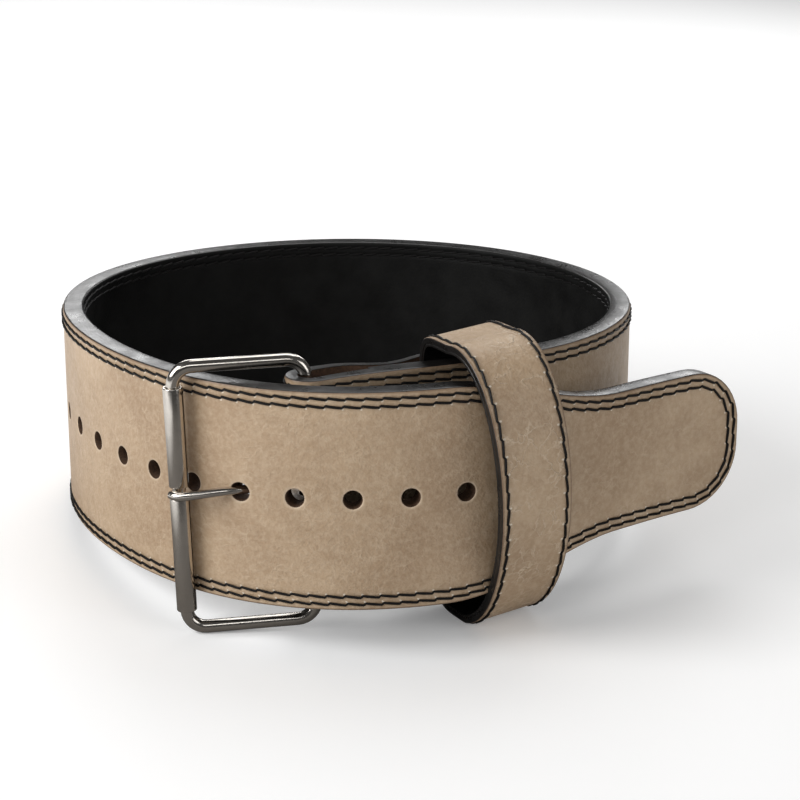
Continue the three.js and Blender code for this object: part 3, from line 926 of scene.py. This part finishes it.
def black_leather(colours):
    """Lining: black leather with a close grain and a soft sheen."""
    nodes, where = new_finish("black leather")
    grain = nodes.add("TexVoronoi", Vector=where, Scale=900.0).outputs["Distance"]
    soft = nodes.noise(where, 70.0, 4.0, 0.6)
    paler = scaled(colours.lining, 1.9)
    base = nodes.blend(nodes.remap(soft, 0.35, 0.7), colours.lining, paler)
    normal = nodes.bump(grain, 0.00012, 0.6, nodes.bump(soft, 0.0005, 0.4))
    rough = nodes.remap(soft, 0.3, 0.7, 0.50, 0.66)
    return nodes.finish(Base_Color=base, Roughness=rough, Normal=normal,
                        Specular_IOR_Level=0.16)


def waxed_thread(colours):
    """Thread: black, twisted, with a little wax shine."""
    nodes, where = new_finish("waxed thread")
    twist = nodes.noise(where, 2600.0, 2.0, 0.5)
    base = nodes.blend(twist, colours.thread, scaled(colours.thread, 2.0))
    normal = nodes.bump(twist, 0.00015, 0.7)
    return nodes.finish(Base_Color=base, Roughness=0.5, Normal=normal,
                        Specular_IOR_Level=0.25)


def nickelled_steel(colours):
    """Nickel plating: bright, with soft handling marks and fine drawn lines."""
    nodes, where = new_finish("nickelled steel")
    marks = nodes.noise(where, 95.0, 4.0, 0.65, 0.5)
    dull = scaled(colours.steel, 0.78)
    base = nodes.blend(nodes.remap(marks, 0.42, 0.75, 0.0, 0.6), colours.steel, dull)
    rough = nodes.remap(marks, 0.3, 0.75, 0.10, 0.26)
    fine = nodes.noise(where, 1500.0, 3.0, 0.6)
    normal = nodes.bump(fine, 0.00003, 0.5, nodes.bump(marks, 0.0001, 0.25))
    return nodes.finish(Base_Color=base, Metallic=1.0, Roughness=rough, Normal=normal)


def finish(name):
    """A finish by name, made once."""
    makers = {"tan leather": grain_leather, "creased leather": creased_leather,
              "edge paint": painted_edge, "raw leather": raw_leather,
              "black leather": black_leather, "waxed thread": waxed_thread,
              "nickelled steel": nickelled_steel}
    known = bpy.data.materials.get(name)
    return known or makers[name](bpy.context.scene.belt_colours)


class BELT_OT_strap(bpy.types.Operator):
    """Models the tan strap: cut flat, punched, grooved, then bent round the waist"""
    bl_idname = "belt.strap"
    bl_label = "Strap"

    def execute(self, context):
        strap = Strap(context.scene)
        start = -strap.fold_length - strap.sizes.flap_reach
        thickness = strap.sizes.leather
        bm = flat_sheet(strap, start, thickness, True, (1.1, -0.25 * MM))
        bend_sheet(bm, strap.bend_leather)
        new_piece("strap_leather", bm, ("tan leather", "edge paint", "raw leather"),
                  "tan_leather", "belt_strap")
        return {"FINISHED"}


class BELT_OT_lining(bpy.types.Operator):
    """Models the black lining inside the strap"""
    bl_idname = "belt.lining"
    bl_label = "Lining"

    def execute(self, context):
        strap = Strap(context.scene)
        sizes = strap.sizes
        thickness = sizes.lining + 0.9 * sizes.glue_gap
        bm = flat_sheet(strap, sizes.lining_start, thickness, False, (1.0, 0))
        bend_sheet(bm, strap.bend_lining)
        new_piece("strap_lining", bm, ("black leather", "edge paint", "raw leather"),
                  "black_leather", "belt_lining")
        return {"FINISHED"}


class BELT_OT_stitches(bpy.types.Operator):
    """Sews two rows along the strap's edges and round its tip, seen on both sides"""
    bl_idname = "belt.stitches"
    bl_label = "Strap stitches"

    def execute(self, context):
        strap = Strap(context.scene)
        stitch = strap.stitch
        sides = (("stitches_outside", strap.bend_leather, strap.sewn_from(), 1.0),
                 ("stitches_inside", strap.bend_lining, strap.sewn_from(True), 0.8))
        for name, bend, first, share in sides:
            template = stitch_template(stitch.pitch, stitch.thread * share, stitch.lean)
            bm = bmesh.new()
            for distance in (stitch.outer_row, stitch.inner_row):
                sew(bm, template, edge_row(strap, distance, first), 1, bend)
            bpy.data.meshes.remove(template)
            new_piece(name, bm, ("waxed thread",), "black_leather")
        return {"FINISHED"}


class BELT_OT_frame(bpy.types.Operator):
    """Bends the buckle's frame from round wire"""
    bl_idname = "belt.frame"
    bl_label = "Buckle frame"

    def execute(self, context):
        sizes = context.scene.belt_buckle
        half = sizes.height / 2 - sizes.corner
        far = sizes.depth - sizes.corner
        bm = bmesh.new()
        foot = Matrix.Translation((sizes.depth, 0, -half))
        edges = round_section(bm, 24, sizes.wire / 2, foot)
        across = far - sizes.corner
        runs = ((0, 0, 2 * half), (-across, 0, 0), (0, 0, -2 * half), (across, 0, 0))
        centres = ((far, half), (sizes.corner, half), (sizes.corner, -half), (far, -half))
        for run, (x, z) in zip(runs, centres):
            verts, edges = next_ring(bm, edges)
            bmesh.ops.translate(bm, vec=run, verts=verts)
            bent = bmesh.ops.spin(
                bm, geom=edges, cent=(x, 0, z), axis=(0, 1, 0), dvec=(0, 0, 0),
                angle=-math.pi / 2, steps=8, use_merge=False)["geom_last"]
            edges = only(bmesh.types.BMEdge, bent)
        bmesh.ops.remove_doubles(bm, verts=bm.verts, dist=0.05 * MM)
        bmesh.ops.transform(bm, matrix=buckle_matrix(), verts=bm.verts)
        new_piece("buckle_wire_frame", bm, ("nickelled steel",), "nickelled_steel",
                  "buckle_frame")
        return {"FINISHED"}


class BELT_OT_rollers(bpy.types.Operator):
    """Rolls the two sleeves on the front bar from sheet, open at their seams"""
    bl_idname = "belt.rollers"
    bl_label = "Roller sleeves"

    # Half the seam's opening and where it faces, in degrees; the sheet's rounded edge
    SEAM = 5.0
    SEAM_HEADING = 150
    ROUNDING = 0.42 * MM

    # Piece, solid, and the sleeve's ends from the middle of the front bar in millimetres
    SPANS = (("roller_sleeve_upper", "buckle_roller_upper", 6.51, 52.2),
             ("roller_sleeve_lower", "buckle_roller_lower", -52.2, 1.31))

    def execute(self, context):
        sizes = context.scene.belt_buckle
        placed = buckle_matrix() @ Matrix.Translation((sizes.depth, 0, 0))
        wall = sizes.roller_wall
        middle = sizes.roller / 2 - wall / 2
        for name, node, low, high in self.SPANS:
            low, high = low * MM, high * MM
            bm = bmesh.new()
            section = Matrix.Translation((middle, 0, (low + high) / 2))
            section = section @ Matrix.Rotation(math.pi / 2, 4, "X")
            section = section @ Matrix.Diagonal((wall / 2, (high - low) / 2, 1, 1))
            bmesh.ops.create_grid(bm, x_segments=1, y_segments=1, size=1.0, matrix=section)
            bmesh.ops.bevel(bm, geom=bm.verts[:], offset=self.ROUNDING, offset_type="OFFSET",
                            segments=3, profile=0.5, affect="VERTICES", material=-1)
            turned = Matrix.Rotation(math.radians(self.SEAM_HEADING + self.SEAM), 4, "Z")
            bmesh.ops.transform(bm, matrix=turned, verts=bm.verts)
            bmesh.ops.spin(bm, geom=bm.faces[:] + bm.edges[:], cent=(0, 0, 0), axis=(0, 0, 1),
                           dvec=(0, 0, 0), angle=math.radians(360 - 2 * self.SEAM), steps=44,
                           use_merge=False, use_duplicate=False)
            bmesh.ops.transform(bm, matrix=placed, verts=bm.verts)
            new_piece(name, bm, ("nickelled steel",), "nickelled_steel", node)
        return {"FINISHED"}


class BELT_OT_prong(bpy.types.Operator):
    """Draws the prong from its eye on the rear bar, through the strap, onto the front bar"""
    bl_idname = "belt.prong"
    bl_label = "Prong"

    # The rounded end: shares of the radius, on from the last point and across
    TIP = ((0.2, 0.97), (0.28, 0.84))

    def execute(self, context):
        sizes = context.scene.belt_buckle
        radius = sizes.prong / 2
        bm = bmesh.new()
        route = [point * MM for point in smooth_route(PRONG_ROUTE, 8)]
        ahead = (route[-1] - route[-2]).normalized()
        radii = [radius] * len(route) + [radius * size for _, size in self.TIP]
        route += [route[-1] + ahead * radius * reach for reach, _ in self.TIP]
        sweep(bm, route, radii, 20)
        eye = Matrix.Translation(Vector((*BUCKLE_PLACE[:2], PRONG_ROUTE[0][2])) * MM)
        section = Matrix.Translation((sizes.eye, 0, 0)) @ Matrix.Rotation(math.pi / 2, 4, "X")
        edges = round_section(bm, 16, radius, eye @ section)
        bmesh.ops.spin(bm, geom=edges, cent=eye.translation, axis=(0, 0, 1), dvec=(0, 0, 0),
                       angle=2 * math.pi, steps=36, use_merge=True)
        bmesh.ops.transform(bm, matrix=rest_matrix(), verts=bm.verts)
        new_piece("prong_wire", bm, ("nickelled steel",), "nickelled_steel",
                  "buckle_prong")
        return {"FINISHED"}


class BELT_OT_keeper(bpy.types.Operator):
    """Models the keeper loop, its lining and its two rows of stitches"""
    bl_idname = "belt.keeper"
    bl_label = "Keeper"

    def execute(self, context):
        loop = Loop(context.scene)
        sizes, stitch = loop.sizes, loop.stitch
        glue = context.scene.belt_sizes.glue_gap
        band = self.layer(loop, 0.0, sizes.leather + 0.45 * glue, stitch.groove)
        new_piece("keeper_leather", band,
                  ("creased leather", "edge paint", "raw leather"),
                  "tan_leather", "keeper_band")
        inner = self.layer(loop, sizes.leather + 0.55 * glue,
                           sizes.leather + glue + sizes.lining, 0.0)
        new_piece("keeper_inside", inner,
                  ("black leather", "edge paint", "black leather"),
                  "black_leather", "keeper_lining")
        template = stitch_template(stitch.pitch, stitch.thread, stitch.lean)
        bm = bmesh.new()
        step = loop.length / KEEPER_COLUMNS
        for side in (-1, 1):
            across = side * (sizes.width / 2 - stitch.keeper_row)
            row = Row([Vector((step * i, across)) for i in range(KEEPER_COLUMNS + 1)],
                      stitch.pitch)
            sew(bm, template, row, side, loop.bend)
        bpy.data.meshes.remove(template)
        new_piece("keeper_stitches", bm, ("waxed thread",), "black_leather")
        return {"FINISHED"}

    @staticmethod
    def layer(loop, shown, hidden, groove):
        """One layer of the loop, laid flat, grooved, thickened, bent and joined end to end."""
        half = loop.sizes.width / 2
        near = band_rings((loop.stitch.keeper_row,), groove, KEEPER_ROUNDING)[::-1]
        near += [(half * share, 0.0) for share in (0.3, 0.45, 0.6, 0.8)]
        profile = [(-half + distance, depth) for distance, depth in near]
        profile += [(0.0, 0.0)]
        profile += [(half - distance, depth) for distance, depth in reversed(near)]
        columns, rows = KEEPER_COLUMNS, len(profile) - 1
        bm = bmesh.new()
        rim = bm.verts.layers.float.new("rim")
        bore = bm.verts.layers.float.new("bore")
        sewn = bm.verts.layers.float.new("sewn")
        stitches = round(loop.length / loop.stitch.pitch)
        bmesh.ops.create_grid(bm, x_segments=columns, y_segments=rows, size=0.5)
        for vert in bm.verts:
            across, depth = profile[round((vert.co.y + 0.5) * rows)]
            column = round((vert.co.x + 0.5) * columns)
            vert.co = (loop.length * column / columns, across, -shown - depth)
            vert[rim] = min(half - abs(across), 5 * MM)
            vert[bore] = FAR_FROM_BORE
            vert[sewn] = stitches * column / columns
        thicken(bm, hidden)
        ends = [face for face in bm.faces
                if max(vert.co.x for vert in face.verts) < TINY
                or min(vert.co.x for vert in face.verts) > loop.length - TINY]
        bmesh.ops.delete(bm, geom=ends, context="FACES")
        lay_flat_map(bm)
        for face in bm.faces:
            if max(vert[rim] for vert in face.verts) < KEEPER_PAINTED:
                face.material_index = 1
            elif max(vert.co.z for vert in face.verts) < -hidden + TINY:
                face.material_index = 2
        bend_sheet(bm, loop.bend)
        bmesh.ops.remove_doubles(bm, verts=bm.verts, dist=0.01 * MM)
        return bm


class BELT_OT_stage(bpy.types.Operator):
    """Sets the floor, the soft studio lights and the camera"""
    bl_idname = "belt.stage"
    bl_label = "Stage"

    # The middle of the belt, which every light is turned to
    LIT_PLACE = (0, 0, 0.07)

    def execute(self, context):
        scene = context.scene
        studio = scene.belt_studio
        camera = bpy.data.cameras.new("camera")
        camera.lens = studio.lens
        camera.sensor_width = 36
        camera.clip_start = 0.01
        view = bpy.data.objects.new("camera", camera)
        pitch = Matrix.Rotation(math.radians(90 - CAMERA_PITCH), 4, "X")
        view.matrix_world = rest_matrix() @ Matrix.Translation(Vector(CAMERA_PLACE) * MM) @ pitch
        scene.collection.objects.link(view)
        scene.camera = view
        self.floor(studio)
        lights = (
            ("key", studio.key, 1.1, 1.1, (-1.42, -0.62, 1.0)),
            ("fill", studio.fill, 0.9, 0.9, (1.4, -0.9, 0.7)),
            ("front", studio.front, 1.6, 0.3, (-0.2, -1.55, 1.15)),
            ("overhead", studio.overhead, 1.0, 1.0, (0.15, 0.75, 1.25)),
            ("rim left", studio.rim, 0.36, 0.3, (-0.40, 1.25, 0.50)),
            ("rim right", studio.rim, 0.36, 0.3, (0.42, 1.25, 0.52)),
        )
        for name, power, width, height, place in lights:
            lamp = bpy.data.lights.new(name, "AREA")
            lamp.shape = "RECTANGLE"
            lamp.energy = power
            lamp.size = width
            lamp.size_y = height
            light = bpy.data.objects.new(name, lamp)
            light.location = place
            ahead = Vector(self.LIT_PLACE) - light.location
            light.rotation_euler = ahead.to_track_quat("-Z", "Y").to_euler()
            scene.collection.objects.link(light)
        nodes = Nodes(bpy.data.worlds.new("studio"), "Background")
        path = nodes.add("LightPath")
        sky = nodes.remap(path.outputs["Is Glossy Ray"], 0, 1, studio.sky, studio.sky_seen)
        strength = nodes.math("MAXIMUM", sky, path.outputs["Is Camera Ray"])
        scene.world = nodes.finish(Color=(1, 1, 1), Strength=strength)
        scene.view_settings.view_transform = "Standard"
        return {"FINISHED"}

    @staticmethod
    def floor(studio):
        bm = bmesh.new()
        bmesh.ops.create_grid(bm, x_segments=1, y_segments=1, size=studio.floor_size / 2)
        mesh = bpy.data.meshes.new("floor")
        bm.to_mesh(mesh)
        bm.free()
        nodes, where = new_finish("floor")
        place = nodes.add("SeparateXYZ", Vector=where)
        path = nodes.add("LightPath")
        # Painted reflection: in glossy rays only, the floor in front of the belt, away from the
        # key at the left, turns darker so the steel shows shade there; the camera sees the pale
        # floor
        front = nodes.math("MULTIPLY", nodes.remap(place.outputs["X"], -0.36, -0.22),
                           nodes.remap(place.outputs["Y"], 0.12, -0.05))
        share = nodes.math("MULTIPLY", path.outputs["Is Glossy Ray"], front)
        base = nodes.blend(share, studio.floor_colour, studio.floor_dark_in_reflections)
        glow = nodes.math("MULTIPLY", path.outputs["Is Camera Ray"], studio.floor_glow)
        mesh.materials.append(nodes.finish(
            Base_Color=base, Roughness=0.9, Emission_Color=(1, 1, 1), Emission_Strength=glow))
        floor = bpy.data.objects.new("floor", mesh)
        bpy.context.scene.collection.objects.link(floor)


class BELT_PT_panel(bpy.types.Panel):
    """Lists the belt's pieces"""
    bl_idname = "BELT_PT_panel"
    bl_label = "Lifting belt"
    bl_space_type = "VIEW_3D"
    bl_region_type = "UI"
    bl_category = "Belt"

    def draw(self, context):
        for operator in PIECES:
            self.layout.operator(operator.bl_idname)


PIECES = (BELT_OT_stage, BELT_OT_strap, BELT_OT_lining, BELT_OT_stitches, BELT_OT_frame,
          BELT_OT_rollers, BELT_OT_prong, BELT_OT_keeper)
SETTINGS = (("belt_sizes", BeltSizes), ("belt_stitches", StitchSizes),
            ("belt_buckle", BuckleSizes), ("belt_keeper", KeeperSizes),
            ("belt_colours", BeltColours), ("belt_studio", StudioSettings))


def register():
    for name, group in SETTINGS:
        bpy.utils.register_class(group)
        setattr(bpy.types.Scene, name, PointerProperty(type=group))
    for part in PIECES + (BELT_PT_panel,):
        bpy.utils.register_class(part)


def unregister():
    for part in reversed(PIECES + (BELT_PT_panel,)):
        bpy.utils.unregister_class(part)
    for name, group in reversed(SETTINGS):
        delattr(bpy.types.Scene, name)
        bpy.utils.unregister_class(group)


def main():
    """Makes every piece in order."""
    register()
    for make in (bpy.ops.belt.stage, bpy.ops.belt.strap, bpy.ops.belt.lining,
                 bpy.ops.belt.stitches, bpy.ops.belt.frame, bpy.ops.belt.rollers,
                 bpy.ops.belt.prong, bpy.ops.belt.keeper):
        make()


if __name__ == "__main__":
    main()
